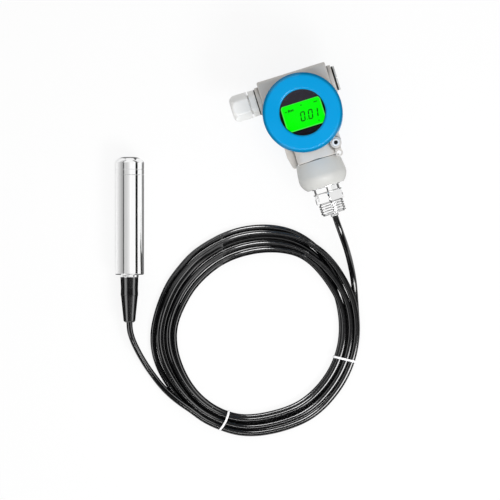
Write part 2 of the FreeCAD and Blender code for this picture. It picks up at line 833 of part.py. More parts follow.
# Cable: two round leads of straight runs joined by tangent arcs, and the outer shape of the coil
def cord(name, points):
    """Round cable along a route: each corner is an arc as large as its two runs allow."""
    bends = []
    for before, corner, after in zip(points, points[1:], points[2:]):
        back = (before - corner).normalize()
        ahead = (after - corner).normalize()
        run = min((before - corner).Length, (after - corner).Length)
        half_turn = (math.pi - back.getAngle(ahead)) / 2
        trim = 0.45 * run
        radius = trim / math.tan(half_turn)
        inner = (back + ahead).normalize()
        middle = corner + inner * (radius / math.cos(half_turn) - radius)
        bends.append((corner + back * trim, middle, corner + ahead * trim, radius))
    edges = []
    here = points[0]
    for start, middle, end, radius in bends:
        edges.append(Part.LineSegment(here, start).toShape())
        edges.append(Part.Arc(start, middle, end).toShape())
        here = end
    edges.append(Part.LineSegment(here, points[-1]).toShape())
    length = sum(e.Length for e in edges)
    first = (points[1] - points[0]).normalize()
    section = Part.Wire(Part.makeCircle(cable_dia / 2, points[0], first))
    tube = Part.Wire(edges).makePipeShell([section], True, False)
    expected = math.pi * cable_dia ** 2 / 4 * length
    print(name, "length", round(length, 1), "volume over section times length", round(tube.Volume / expected, 4))
    print(name, "radii", [round(bend[3], 1) for bend in bends])
    return tube


def head_lead():
    start = Vector(0, -cable_exit, axis_height)
    return cord("head lead", [start] + head_lead_points)


def probe_lead():
    """The last run goes straight into the boot."""
    end = probe_nose + probe_axis * (boot_end - boot_grip)
    return cord("probe lead", probe_lead_points + [end + probe_axis * probe_lead_straight, end])


def tie_frame(angle):
    """Radial direction of a tie, and the coil's inner and outer radius there from its outer centre."""
    out = Vector(math.cos(math.radians(angle)), math.sin(math.radians(angle)), 0)
    shift = Vector(coil_hole_x - coil_centre_x, coil_hole_y - coil_centre_y, 0)
    along = shift.dot(out)
    inner = along + math.sqrt((coil_hole_dia / 2) ** 2 - (shift - out * along).Length ** 2)
    return out, inner, coil_dia / 2


def band(out, inner, outer, low, high, corner):
    """Rounded block across the coil, as wide as a tie."""
    block = box(Vector(outer - inner, tie_width, high - low), Vector(inner, -tie_width / 2, low))
    block = rounded(block, Y, corner)
    block.rotate(Vector(0, 0, 0), Z, math.degrees(math.atan2(out.y, out.x)))
    block.translate(Vector(coil_centre_x, coil_centre_y, 0))
    return block


def ties():
    loops = []
    for angle in tie_angles:
        out, inner, outer = tie_frame(angle)
        outside = band(out, inner - tie_thickness, outer + tie_thickness, 0,
                       coil_height + tie_thickness, coil_round + tie_thickness)
        inside = band(out, inner, outer, tie_thickness, coil_height, coil_round)
        loops.append(outside.cut(inside))
    return Part.Compound(loops)


def coil():
    ring = rod(coil_dia, 0, coil_height, coil_centre_x, coil_centre_y)
    ring = ring.cut(rod(coil_hole_dia, 0, coil_height, coil_hole_x, coil_hole_y))
    rims = [e for e in ring.Edges if isinstance(e.Curve, Part.Circle)]
    return ring.makeFillet(coil_round, rims).cut(ties().Solids)


def pieces():
    """Every piece of the object, by name, in its place."""
    gland = conduit_left, -X
    plug = conduit_right, X
    bottom_board = partition_front + main_board_lift
    display_board = display_board_top - board_thickness
    return {
        "housing": housing(),
        "cover_lock_screws": lock_screws(),
        "front_cover": front_cover(),
        "front_cover_o_ring": cover_o_ring(housing_front - o_ring_seat_depth / 2),
        "window_glass": rod(glass_dia, glass_base, glass_top),
        "window_gasket": pipe(glass_dia, window_dia, glass_top, glass_top + window_gasket_thickness),
        "glass_retaining_ring": glass_retainer(),
        "rear_cover": rear_cover(),
        "rear_cover_o_ring": cover_o_ring(housing_back + o_ring_seat_depth / 2),
        "display_bezel": display_bezel(),
        "lcd_panel": lcd_layer(backlight_top, lcd_top),
        "lcd_backlight": lcd_layer(display_board_top, backlight_top),
        "display_board": board(display_board),
        "display_spacers": spacers(main_board_top, display_board),
        "display_screws": board_screws(),
        "main_board": board(bottom_board),
        "main_board_spacers": spacers(partition_front, bottom_board),
        "terminal_block": terminal_block(),
        "terminal_screws": terminal_screws(),
        "gland_gasket": seated(gland_gasket(), *gland),
        "gland_body": seated(gland_body(), *gland),
        "gland_dome_nut": seated(gland_dome_nut(), *gland),
        "gland_seal": seated(gland_seal(), *gland),
        "plug_gasket": seated(plug_gasket(), *plug),
        "blanking_plug": seated(blanking_plug(), *plug),
        "adapter_gasket": on_neck(adapter_gasket(), neck_end),
        "sensor_adapter": on_neck(adapter(), adapter_top),
        "threaded_fitting": on_neck(fitting(), fitting_top),
        "cable_bush": on_neck(cable_bush(), fitting_top),
        "nose_cap": on_probe(nose_cap()),
        "nose_o_ring": on_probe(nose_o_ring()),
        "probe_tube": on_probe(probe_tube()),
        "pressure_capsule": on_probe(pressure_capsule()),
        "capsule_o_ring": on_probe(capsule_o_ring()),
        "probe_board": on_probe(probe_board()),
        "tail_plug": on_probe(tail_plug()),
        "strain_relief_boot": on_probe(strain_relief_boot()),
        "cable_lead_head": head_lead(),
        "cable_coil": coil(),
        "cable_lead_probe": probe_lead(),
        "cable_ties": ties(),
    }


os.makedirs("parts", exist_ok=True)
for name, shape in pieces().items():
    shape.exportStep("parts/" + name + ".step")
    print(name, "solids", len(shape.Solids), "valid", shape.isValid(), "volume", round(shape.Volume, 1))
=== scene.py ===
# %% [markdown]
# # Water level sensor
# A display head lies on its rear cover. A black cable leaves its steel fitting, runs through a tied coil
# and ends in a submersible probe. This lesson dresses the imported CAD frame: the frame gives every size and
# place, and the script adds the cable's turns, the fine forms and the finishes. Lengths are written in
# millimetres.

# %% Load the frame
import json
import math

import bmesh
import bpy
from mathutils import Matrix, Vector


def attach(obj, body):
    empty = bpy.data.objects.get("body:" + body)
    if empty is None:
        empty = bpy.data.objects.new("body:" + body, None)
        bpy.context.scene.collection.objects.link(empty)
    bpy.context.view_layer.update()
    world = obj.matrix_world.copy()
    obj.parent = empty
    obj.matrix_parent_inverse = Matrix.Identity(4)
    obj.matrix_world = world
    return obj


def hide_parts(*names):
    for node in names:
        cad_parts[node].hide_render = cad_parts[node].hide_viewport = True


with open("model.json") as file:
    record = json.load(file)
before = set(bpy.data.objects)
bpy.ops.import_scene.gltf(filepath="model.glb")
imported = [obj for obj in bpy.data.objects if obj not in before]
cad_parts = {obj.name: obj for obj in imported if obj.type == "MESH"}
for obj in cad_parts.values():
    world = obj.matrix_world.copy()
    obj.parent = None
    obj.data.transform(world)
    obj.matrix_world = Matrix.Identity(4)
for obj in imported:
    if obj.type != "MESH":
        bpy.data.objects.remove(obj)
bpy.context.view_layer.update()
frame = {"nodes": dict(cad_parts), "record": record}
nodes = frame["nodes"]
MM = 0.001
UP = Vector((0, 0, 1))

# %% [markdown]
# ## Camera
# The photograph looks straight down from far away, so lines hardly converge. A long lens five metres above
# the floor gives that. The head is turned in the picture, which becomes the camera's roll, and a slight
# lean to the right shows a little more of the tall head's right flank.

# %% Camera
VIEW_TURN = math.radians(17.3)
VIEW_LEAN = math.radians(1.25)
VIEW_DISTANCE = 5000.0
VIEW_WIDTH = 480.0
VIEW_UP = Vector((math.sin(VIEW_TURN), math.cos(VIEW_TURN), 0))
view_target = Vector((-87.73, -109.67, 20.0))


def add_camera():
    back = Vector((math.sin(VIEW_LEAN), 0, math.cos(VIEW_LEAN)))
    right = VIEW_UP.cross(back).normalized()
    up = back.cross(right)
    data = bpy.data.cameras.new("camera")
    data.sensor_width = 36.0
    data.lens = data.sensor_width * VIEW_DISTANCE / VIEW_WIDTH
    data.clip_end = 20.0
    camera = bpy.data.objects.new("camera", data)
    turn = Matrix((right, up, back)).transposed().to_4x4()
    camera.matrix_world = Matrix.Translation((view_target + back * VIEW_DISTANCE) * MM) @ turn
    bpy.context.collection.objects.link(camera)
    bpy.context.scene.camera = camera
    return camera


camera = add_camera()
print("camera with a lens of", round(camera.data.lens), "mm")

# %% [markdown]
# ## Calculating with shader sockets
# A finish is a small network of nodes. Writing it as Python arithmetic keeps it readable, so one class
# wraps a socket and turns plus, minus and the rest into Math nodes. A second class holds the material and
# makes every other node through one method.


# %% Shader sockets
class Signal:
    """A shader socket that Python can calculate with."""

    def __init__(self, finish, socket):
        self.finish = finish
        self.socket = socket

    def __add__(self, other):
        return self.finish.math("ADD", self, other)

    def __sub__(self, other):
        return self.finish.math("SUBTRACT", self, other)

    def __rsub__(self, other):
        return self.finish.math("SUBTRACT", other, self)

    def __mul__(self, other):
        return self.finish.math("MULTIPLY", self, other)

    __radd__ = __add__
    __rmul__ = __mul__


# %% Finishes as networks of nodes
class Finish:
    """One material while its nodes are made."""

    def __init__(self, name):
        self.material = bpy.data.materials.new(name)
        self.material.use_nodes = True
        self.tree = self.material.node_tree
        self.shader = self.tree.nodes["Principled BSDF"]

    def node(self, kind, inputs, output=0, **settings):
        made = self.tree.nodes.new(kind)
        for name, value in settings.items():
            setattr(made, name, value)
        self.feed(made, inputs)
        return Signal(self, made.outputs[output])

    def feed(self, made, inputs):
        for key, value in inputs.items():
            if isinstance(value, Signal):
                self.tree.links.new(value.socket, made.inputs[key])
            else:
                made.inputs[key].default_value = value

    def math(self, operation, first, second):
        return self.node("ShaderNodeMath", {0: first, 1: second}, operation=operation)

    def distance(self, first, second):
        """Length of the way that has these two parts at a right angle."""
        return self.math("SQRT", first * first + second * second, 0.0)

    def dot(self, first, second):
        inputs = {0: first, 1: second}
        return self.node("ShaderNodeVectorMath", inputs, output="Value", operation="DOT_PRODUCT")

    def place(self):
        return self.node("ShaderNodeTexCoord", {}, output="Object")

    def along(self, axis):
        """Coordinate of the surface along one axis, in metres."""
        return self.node("ShaderNodeSeparateXYZ", {0: self.place()}, output=axis)

    def ray(self, kind):
        """1 for rays of one kind and 0 for all others."""
        return self.node("ShaderNodeLightPath", {}, output=kind)

    def fade(self, value, start, end):
        """A soft step from 0 at the start to 1 at the end."""
        inputs = {"Value": value, "From Min": start, "From Max": end}
        return self.node("ShaderNodeMapRange", inputs, interpolation_type="SMOOTHSTEP")

    def noise(self, where, scale, detail=2.0):
        return self.node("ShaderNodeTexNoise", {"Vector": where, "Scale": scale, "Detail": detail})

    def blend(self, factor, low, high):
        return self.node("ShaderNodeMix", {0: factor, 6: low, 7: high}, output=2, data_type="RGBA")

    def soft_edges(self, radius):
        return self.node("ShaderNodeBevel", {"Radius": radius * MM}, samples=6)

    def worn_and_highlit_edges(self, soft):
        """1 on an edge and 0 on a face: how far the rounded normal leans away from the flat one."""
        flat = self.node("ShaderNodeNewGeometry", {}, output="True Normal")
        return self.fade(self.dot(soft, flat), 0.99, 0.86)

    def painted_corner_shade(self):
        """1 deep in a corner of the piece, where shade is painted, and 0 in the open."""
        inputs = {"Distance": 4 * MM}
        open_sky = self.node("ShaderNodeAmbientOcclusion", inputs, output="AO", only_local=True)
        return self.fade(open_sky, 0.85, 0.55)

    def bump(self, height, strength, distance, normal=None):
        inputs = {"Height": height, "Strength": strength, "Distance": distance}
        if normal:
            inputs["Normal"] = normal
        return self.node("ShaderNodeBump", inputs)

    def principled(self, **sockets):
        self.feed(self.shader, {name.replace("_", " "): value for name, value in sockets.items()})
        return self.material


# %% Colours
def srgb(red, green, blue):
    """Linear colour of the 0 to 255 values that a picture shows."""
    def linear(value):
        value = value / 255
        return value / 12.92 if value <= 0.04045 else ((value + 0.055) / 1.055) ** 2.4

    return (linear(red), linear(green), linear(blue), 1.0)


def shade(colour, factor):
    return tuple(channel * factor for channel in colour[:3]) + (1.0,)


print("shader helpers ready")

# %% [markdown]
# ## Cable
# The cable has a smooth black jacket, is 5.8 mm thick and stiff enough to make wide bends. It leaves the
# fitting straight, sinks to the floor, goes round the coil and climbs into the boot of the probe. Its two
# leads follow the same control points as the solids. Round the coil a loop works out where each turn lies:
# the coil is a little oval, two ties press the turns into two layers on the right and below, and they fan
# out where nothing holds them.

# %% Route of the leads and outline of the coil
CABLE = 5.8
head_route = [
    Vector((0.0, -100.3, 43.0)),
    Vector((0.2, -110.5, 43.0)),
    Vector((0.7, -122.0, 39.4)),
    Vector((1.1, -133.0, 31.2)),
    Vector((0.9, -144.0, 20.6)),
    Vector((0.0, -155.5, 11.0)),
    Vector((-1.6, -168.0, 4.9)),
    Vector((-4.2, -180.0, 2.9)),
]
probe_route = [
    Vector((-187.7, -240.1, 8.7)),
    Vector((-195.6, -230.6, 8.4)),
    Vector((-202.7, -220.3, 7.0)),
    Vector((-208.6, -209.2, 4.6)),
    Vector((-212.9, -198.0, 3.2)),
    Vector((-216.6, -186.5, 4.4)),
    Vector((-219.3, -174.8, 7.6)),
    Vector((-221.1, -163.4, 11.4)),
    Vector((-221.65, -153.6, 13.35)),
    Vector((-220.53, -145.62, 14.0)),
    Vector((-218.69, -139.7, 14.0)),
]
COIL_TURN = math.radians(40)
coil_centre = Vector((-105.2, -185.2, 0.0))
# An oval is given by its centre, long and short radius, a bulge by its middle angle, half width and height.
coil_outside = (coil_centre, 102.4, 98.2)
coil_inside = (Vector((-104.0, -188.5, 0.0)), 81.0, 74.5)
inside_bulges = [
    (15, 50, 1.0), (80, 25, -2.2), (180, 35, 2.4), (198, 16, -0.9),
    (238, 40, -1.9), (268, 30, -2.1), (300, 18, 1.0), (325, 24, -2.6),
]
outside_bulges = [
    (40, 60, 1.4), (56, 16, 0.9), (97, 16, 1.2), (170, 30, 3.4),
    (220, 14, -1.0), (243, 18, -1.0), (286, 26, 1.3), (326, 24, -1.3),
]


def reach(out, oval):
    """Distance from the coil's centre to an oval, along a direction."""
    centre, long_radius, short_radius = oval
    squeeze = Matrix.Diagonal((1 / long_radius, 1 / short_radius, 1)) @ Matrix.Rotation(-COIL_TURN, 3, "Z")
    start = squeeze @ (coil_centre - centre)
    way = squeeze @ out
    ahead = start.dot(way)
    root = math.sqrt(ahead ** 2 - way.length_squared * (start.length_squared - 1))
    return (root - ahead) / way.length_squared


def bulge(turn, bulges):
    """How far soft humps push the coil's edge out at an angle."""
    total = 0.0
    for middle, half_width, height in bulges:
        off = abs((turn - middle + 180) % 360 - 180) / half_width
        total += height * (1 + math.cos(math.pi * min(1.0, off))) / 2
    return total


def outward(turn):
    """Direction from the coil's centre, at an angle that runs clockwise from the picture's right."""
    angle = -VIEW_TURN - math.radians(turn)
    return Vector((math.cos(angle), math.sin(angle), 0))


inner, outer = (round(reach(outward(18), oval), 1) for oval in (coil_inside, coil_outside))
print("coil between", inner, "and", outer)

# %% [markdown]
# ## Turns of the coil
# Each turn has a share, 0 at the coil's inside and 1 at its outside, and a height. One list says how the
# turns lie under the ties and one how they lie where they are free. On the way from free to tied each turn
# shifts over its own stretch, so that the crossings come one after another as in a real hand-wound coil.

# %% Turns of the coil
LOW, MIDDLE, HIGH = 2.9, 5.5, 8.6
# Share and height of each turn, and the angles between which it shifts and rises.
tied_turns = [(1.0, LOW), (0.5, LOW), (0.0, LOW), (0.17, HIGH), (0.62, HIGH), (1.0, HIGH)]
free_turns = [(1.0, LOW), (0.55, LOW), (0.0, LOW), (0.28, MIDDLE), (0.73, HIGH)]
shift_stretch = [(288, 355), (305, 355), (285, 330), (292, 340), (280, 318)]
rise_stretch = [(288, 355), (305, 355), (215, 275), (215, 275), (280, 318)]
TIED_UNTIL = 110
FREE_FROM = 200
COIL_STEP = 10
COIL_END = 5 * 360 + 120


def eased(place, stretch):
    amount = min(1.0, max(0.0, (place - stretch[0]) / (stretch[1] - stretch[0])))
    return amount * amount * (3 - 2 * amount)


def coil_lie(angle):
    """Share and height of the cable at an angle that goes on counting from turn to turn."""
    turn, place = divmod(max(angle, 0), 360)
    if turn == len(free_turns) or place <= TIED_UNTIL:
        return tied_turns[turn]
    if place < FREE_FROM:
        start, end = tied_turns[turn], free_turns[turn]
        shift = rise = eased(place, (TIED_UNTIL, FREE_FROM))
    else:
        start, end = free_turns[turn], tied_turns[turn + 1]
        shift, rise = eased(place, shift_stretch[turn]), eased(place, rise_stretch[turn])
    return start[0] + (end[0] - start[0]) * shift, start[1] + (end[1] - start[1]) * rise


def coil_point(angle):
    share, height = coil_lie(angle)
    out = outward(angle)
    inner = reach(out, coil_inside) + bulge(angle, inside_bulges) + CABLE / 2
    outer = reach(out, coil_outside) + bulge(angle, outside_bulges) - CABLE / 2
    radius = (inner + share * (outer - inner)) / math.cos(math.radians(COIL_STEP / 2))
    return coil_centre + out * radius + UP * height


coil_route = [coil_point(angle) for angle in range(-COIL_STEP, COIL_END + 1, COIL_STEP)]
cable_route = head_route + coil_route + probe_route
print("cable route of", len(cable_route), "points")

# %% [markdown]
# ## Curve of the cable
# A cord could be a swept mesh, but a curve with a round bevel keeps its middle line, so its length can be
# measured. A NURBS curve of low order stays close to its control points and bends without kinks. Both leads
# and the coil are one spline, because the real cable is one length.


# %% Cable curve
def cable_curve(name, route, thickness):
    data = bpy.data.curves.new(name, "CURVE")
    data.dimensions = "3D"
    data.bevel_depth = 1.0
    data.bevel_resolution = 6
    data.resolution_u = 5
    data.use_fill_caps = True
    spline = data.splines.new("NURBS")
    spline.points.add(len(route) - 1)
    for point, place in zip(spline.points, route):
        point.co = (*(place * MM), 1.0)
        point.radius = thickness / 2 * MM
    spline.order_u = 3
    spline.use_endpoint_u = True
    piece = bpy.data.objects.new(name, data)
    bpy.context.collection.objects.link(piece)
    return piece


def curve_length(piece):
    """Length of the middle line, measured on a copy that has no thickness."""
    bare = piece.copy()
    bare.data = piece.data.copy()
    bare.data.bevel_depth = 0.0
    line = bpy.data.meshes.new_from_object(bare)
    length = sum((line.vertices[a].co - line.vertices[b].co).length for a, b in line.edge_keys)
    bpy.data.objects.remove(bare)
    return length


cable = cable_curve("cable", cable_route, CABLE)
print("cable of", round(curve_length(cable), 3), "m")
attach(cable, "head")
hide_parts("cable_lead_head", "cable_coil", "cable_lead_probe")

# %% [markdown]
# ## Ties
# Two white coated ties hold the coil. A tie is a strip that goes once round the bundle. It starts as a flat
# ring of edges, is pushed out into a rounded rectangle that hugs the turns, pulled to its width, given a
# thickness and finally bent sideways a little, because a real tie never sits quite straight.


# %% Making a mesh piece
def mesh_object(name, shape):
    """Object with the mesh of a bmesh, which is freed."""
    mesh = bpy.data.meshes.new(name)
    shape.to_mesh(mesh)
    shape.free()
    made = bpy.data.objects.new(name, mesh)
    bpy.context.collection.objects.link(made)
    return made


def add_piece(name, shape, body, slot, *replaced):
    """Turn a bmesh in millimetres into an object that rides on a body."""
    bmesh.ops.scale(shape, vec=Vector((MM, MM, MM)), verts=shape.verts)
    piece = mesh_object(name, shape)
    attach(piece, body)
    if replaced:
        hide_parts(*replaced)
    return piece


def new_verts(geometry):
    """The vertices among what an operator has made."""
    return [item for item in geometry if isinstance(item, bmesh.types.BMVert)]


# %% Ties
TIE_WIDTH = 2.0
TIE_THICKNESS = 0.7
TIE_END_GAP = 0.9
TIE_TOP_GAP = 0.25
TIE_LIFT = 0.3
COIL_TOP = HIGH + CABLE / 2
# Angle on the coil, bow and lean of each tie.
tie_places = [(18.1, 0.0, 0.9), (109.5, 1.6, -1.2)]


def tie_strip(shape, turn, sway, lean):
    """Strip round the bundle at an angle of the coil, with a bow and a lean sideways."""
    out = outward(turn)
    inner = reach(out, coil_inside) + bulge(turn, inside_bulges)
    outer = reach(out, coil_outside) + bulge(turn, outside_bulges)
    length = (outer - inner) / 2 + TIE_END_GAP
    height = COIL_TOP / 2 + TIE_TOP_GAP
    ring = bmesh.ops.create_circle(shape, segments=40, radius=1.0)["verts"]
    for vert in ring:
        x, y = vert.co.x, vert.co.y
        vert.co.x = math.copysign(abs(x) ** 0.5, x) * length
        vert.co.y = math.copysign(abs(y) ** 0.5, y) * height
    edges = list({edge for vert in ring for edge in vert.link_edges})
    far = new_verts(bmesh.ops.extrude_edge_only(shape, edges=edges)["geom"])
    bmesh.ops.translate(shape, verts=far, vec=UP * TIE_WIDTH)
    verts = ring + far
    faces = list({face for vert in verts for face in vert.link_faces})
    bmesh.ops.recalc_face_normals(shape, faces=faces)
    skin = bmesh.ops.solidify(shape, geom=faces, thickness=TIE_THICKNESS)["geom"]
    verts += [vert for vert in new_verts(skin) if vert not in verts]
    for vert in verts:
        share = vert.co.x / length
        vert.co.z += lean * share + sway * math.cos(math.pi / 2 * share) - TIE_WIDTH / 2
    upright = Matrix((out, UP, UP.cross(out))).transposed().to_4x4()
    middle = coil_centre + out * (inner + outer) / 2 + UP * (COIL_TOP / 2 + TIE_LIFT)
    bmesh.ops.transform(shape, matrix=Matrix.Translation(middle) @ upright, verts=verts)


shape = bmesh.new()
for tie_place in tie_places:
    tie_strip(shape, *tie_place)
bmesh.ops.recalc_face_normals(shape, faces=shape.faces)
ties = add_piece("coil_ties", shape, "head", "tie_white", "cable_ties")
print("ties with", len(ties.data.polygons), "faces")

# %% [markdown]
# ## Thread of the fitting
# The fitting has a thin flange under the adapter, a collar, a hexagon for the spanner and an outside thread
# that screws into the process connection. The solid has a plain cylinder for the thread. The hexagon is cut
# out of a merged copy of the solid, because its chamfers are already right there. Flange, collar and the
# root of the thread are profiles that are spun, and a trapezoid that advances while it is spun gives the
# ridge of a real thread.

# %% Sizes of the fitting
AXIS_HEIGHT = 43.0
SOLID_HEX = (-77.1, -86.7)
HEX_SHIFT = -1.3
HEX_TOP = SOLID_HEX[0] + HEX_SHIFT
HEX_FLATS = 27.0
THREAD_FROM = SOLID_HEX[1] + HEX_SHIFT
THREAD_END = -100.3
THREAD_ROOT = 10.8
THREAD_CREST = 11.9
THREAD_PITCH = 2.4
THREAD_TURNS = 4
END_CHAMFER = 0.6
BORE = 2.6
STEPS = 64
fitting_axis = Vector((0, -1, 0))
fitting_centre = Vector((0, 0, AXIS_HEIGHT))
# Radius and place along the axis for each corner of a profile.
flange_and_collar = [
    (6.0, -61.2), (8.9, -61.2), (8.9, -72.5), (13.6, -72.5), (13.85, -72.7),
    (13.85, -73.5), (13.6, -73.7), (12.3, -73.7), (12.3, HEX_TOP), (6.0, HEX_TOP),
]
thread_core = [
    (BORE, THREAD_FROM),
    (THREAD_ROOT, THREAD_FROM),
    (THREAD_ROOT, THREAD_END + END_CHAMFER),
    (THREAD_ROOT - END_CHAMFER, THREAD_END),
    (BORE, THREAD_END),
]
thread_ridge = [
    (THREAD_ROOT - 0.3, -88.3),
    (THREAD_CREST, -88.55),
    (THREAD_CREST, -90.15),
    (THREAD_ROOT - 0.3, -90.4),
]
print("thread of", THREAD_TURNS, "turns from", THREAD_FROM, "to", THREAD_END)


# %% Cutting and spinning
def copied_solid(name):
    """Merged copy of a CAD node's mesh, in millimetres."""
    shape = bmesh.new()
    shape.from_mesh(nodes[name].data)
    bmesh.ops.scale(shape, vec=Vector((1 / MM, 1 / MM, 1 / MM)), verts=shape.verts)
    bmesh.ops.remove_doubles(shape, verts=shape.verts, dist=0.001)
    return shape


def cut_off(shape, place, way):
    """Remove what lies beyond a place along the fitting."""
    geometry = list(shape.verts) + list(shape.edges) + list(shape.faces)
    spot = Vector((0, place, 0))
    bmesh.ops.bisect_plane(shape, geom=geometry, plane_co=spot, plane_no=way, clear_outer=True)


def profile(shape, points):
    """Closed line of edges from pairs of radius and place along the fitting."""
    verts = [shape.verts.new((radius, place, AXIS_HEIGHT)) for radius, place in points]
    return verts + [shape.edges.new(pair) for pair in zip(verts, verts[1:] + verts[:1])]


def spun(shape, points):
    """Ring whose cross-section is a profile."""
    bmesh.ops.spin(shape, geom=profile(shape, points), cent=fitting_centre, axis=fitting_axis,
                   angle=math.tau, steps=STEPS, use_merge=True)


# %% Threaded fitting
CUT_MARGIN = 0.01
shape = copied_solid("threaded_fitting")
cut_off(shape, SOLID_HEX[0] - CUT_MARGIN, -fitting_axis)
cut_off(shape, SOLID_HEX[1] + CUT_MARGIN, fitting_axis)
bmesh.ops.translate(shape, verts=shape.verts, vec=Vector((0, HEX_SHIFT, 0)))
spun(shape, flange_and_collar)
spun(shape, thread_core)
ridge = profile(shape, thread_ridge)
face = bmesh.ops.contextual_create(shape, geom=ridge)["faces"]
bmesh.ops.spin(shape, geom=ridge + face, cent=fitting_centre, axis=fitting_axis,
               angle=math.tau * THREAD_TURNS, steps=STEPS * THREAD_TURNS,
               dvec=fitting_axis * (THREAD_PITCH / STEPS))
bmesh.ops.recalc_face_normals(shape, faces=shape.faces)
fitting = add_piece("fitting_with_thread", shape, "head", "polished_steel", "threaded_fitting")
print("fitting with", len(fitting.data.polygons), "faces")

# %% [markdown]
# ## Figures on the display
# The liquid crystal shows a reading in thin dark segments. Each segment is a small six-sided plate with
# pointed ends, stretched to its length, that lies on the panel just below the glass. A nought has six
# segments and a one has two. The small marks beside the reading are plain bars.

# %% Sizes of the figures
LCD_TOP = 72.8
SEGMENT = 1.0
SEGMENT_HEIGHT = 0.06
SEGMENT_SINK = 0.02
DIGIT_WIDTH = 3.6
DIGIT_HEIGHT = 8.2
DIGIT_SLANT = 0.17
# Middle of each figure with its lit bars, then start, end and width of each mark.
reading = [(-0.9, -3.4, "abcdef"), (6.7, -3.5, "abcdef"), (11.9, -3.6, "bc")]
marks = [
    ((2.0, -7.3), (3.2, -7.3), 0.9),
    ((-16.2, 4.8), (-14.2, 4.8), 0.7),
    ((-12.8, 3.6), (-12.2, 6.6), 1.0),
    ((-11.4, 3.8), (-11.0, 6.0), 1.0),
    ((-9.9, 3.8), (-9.5, 6.0), 1.0),
    ((-8.4, 3.8), (-8.0, 6.0), 1.0),
    ((-0.2, 7.3), (1.4, 7.3), 1.0),
    ((12.6, 6.6), (16.6, 6.6), 0.7),
    ((12.0, -11.4), (13.4, -11.4), 0.7),
]
print("reading of", len(reading), "figures beside", len(marks), "marks")


# %% Segments and figures
def segment(shape, start, end, width=SEGMENT):
    """Plate with pointed ends between two points of the display."""
    way = Vector(end) - Vector(start)
    half = way.length / 2
    ring = bmesh.ops.create_circle(shape, cap_ends=True, segments=6, radius=1.0)["verts"]
    for vert in ring:
        across, along = vert.co.x, vert.co.y
        tip = abs(along) > 0.9
        vert.co.x = math.copysign(half if tip else half - width / 2, along)
        vert.co.y = across * width / math.sqrt(3)
    faces = list({face for vert in ring for face in vert.link_faces})
    top = new_verts(bmesh.ops.extrude_face_region(shape, geom=faces)["geom"])
    bmesh.ops.translate(shape, verts=top, vec=UP * SEGMENT_HEIGHT)
    middle = (Vector(start) + Vector(end)) / 2
    turn = Matrix.Rotation(math.atan2(way.y, way.x), 4, "Z")
    place = Matrix.Translation((middle.x, middle.y, LCD_TOP - SEGMENT_SINK))
    bmesh.ops.transform(shape, matrix=place @ turn, verts=ring + top)


def digit(shape, x, y, segments):
    """Figure of slanted bars, each named by the letter that seven-segment displays use for it."""
    def corner(side, level):
        lean = DIGIT_SLANT * DIGIT_HEIGHT / 2 * level
        return x + DIGIT_WIDTH / 2 * side + lean, y + DIGIT_HEIGHT / 2 * level

    bars = {
        "a": (corner(-0.98, 1), corner(0.98, 1)),
        "b": (corner(1, 0.02), corner(1, 0.98)),
        "c": (corner(1, -0.98), corner(1, -0.02)),
        "d": (corner(-0.98, -1), corner(0.98, -1)),
        "e": (corner(-1, -0.98), corner(-1, -0.02)),
        "f": (corner(-1, 0.02), corner(-1, 0.98)),
    }
    for letter in segments:
        segment(shape, *bars[letter])


shape = bmesh.new()
for figure in reading:
    digit(shape, *figure)
for mark in marks:
    segment(shape, *mark)
bmesh.ops.recalc_face_normals(shape, faces=shape.faces)
figures = add_piece("display_figures", shape, "head", "bezel_dark")
print("figures with", len(figures.data.polygons), "faces")

# %% [markdown]
# ## Floor and light
# The photograph has a pure white ground. The floor is white, and for the camera and for reflections it
# glows, so that it stays white while a soft shadow remains. Dark strips on it, which only mirrors see, draw
# lines along the steel and keep the coil black. The world is a pale room. The main soft box stands at the
# lower right, and a weak one over the neck lifts its shadow. A third one lights the cable alone, from the
# top left, and draws the glints along its turns.

# %% Dark strips on the floor
VIEW_RIGHT = Vector((math.cos(VIEW_TURN), -math.sin(VIEW_TURN), 0))
ACROSS_HEAD = Vector((1, 0, 0))
STRIP_EDGE = 2
probe_way = -VIEW_UP
probe_nose = Vector((-172.0, 10.2, 14.0))
nose_right = Matrix.Rotation(math.radians(-27), 3, "Z") @ VIEW_UP
nose_left = Matrix.Rotation(math.radians(19), 3, "Z") @ VIEW_UP
# Darkness, origin, direction across and along, reach across and along.
floor_strips = [
    (0.95, probe_nose, nose_right.cross(UP), nose_right, (-5, 5), (20, 130)),
    (0.6, probe_nose, nose_left.cross(UP), nose_left, (-3, 3), (20, 130)),
    (0.85, probe_nose, VIEW_RIGHT, probe_way, (13, 47), (0, 119)),
    (0.99, probe_nose, VIEW_RIGHT, probe_way, (-80, 80), (117, 172)),
    (0.9, probe_nose, VIEW_RIGHT, probe_way, (-14, 14), (-30, -5)),
    (0.9, coil_centre, VIEW_RIGHT, VIEW_UP, (-98, 108), (-110, 75)),
    (0.9, coil_centre, VIEW_RIGHT, VIEW_UP, (-40, 108), (75, 108)),
    (0.9, fitting_centre, ACROSS_HEAD, fitting_axis, (12, 160), (66, 106)),
    (0.9, fitting_centre, ACROSS_HEAD, fitting_axis, (-110, -12), (66, 106)),
]


def dark_strip(finish, darkness, origin, across, along, across_range, along_range):
    """Darkness on a strip of the floor, given by its reach across and along from an origin."""
    moved = finish.node("ShaderNodeMapping", {"Vector": finish.place(), "Location": origin * -MM})
    mask = darkness
    for way, (low, high) in ((across, across_range), (along, along_range)):
        value = finish.dot(moved, way)
        mask = mask * finish.fade(value, (low - STRIP_EDGE) * MM, (low + STRIP_EDGE) * MM)
        mask = mask * finish.fade(value, (high + STRIP_EDGE) * MM, (high - STRIP_EDGE) * MM)
    return mask


print("dark strips:", len(floor_strips))

# %% Floor
FLOOR_GLOW = 0.85
MIRROR_GLOW = 0.35


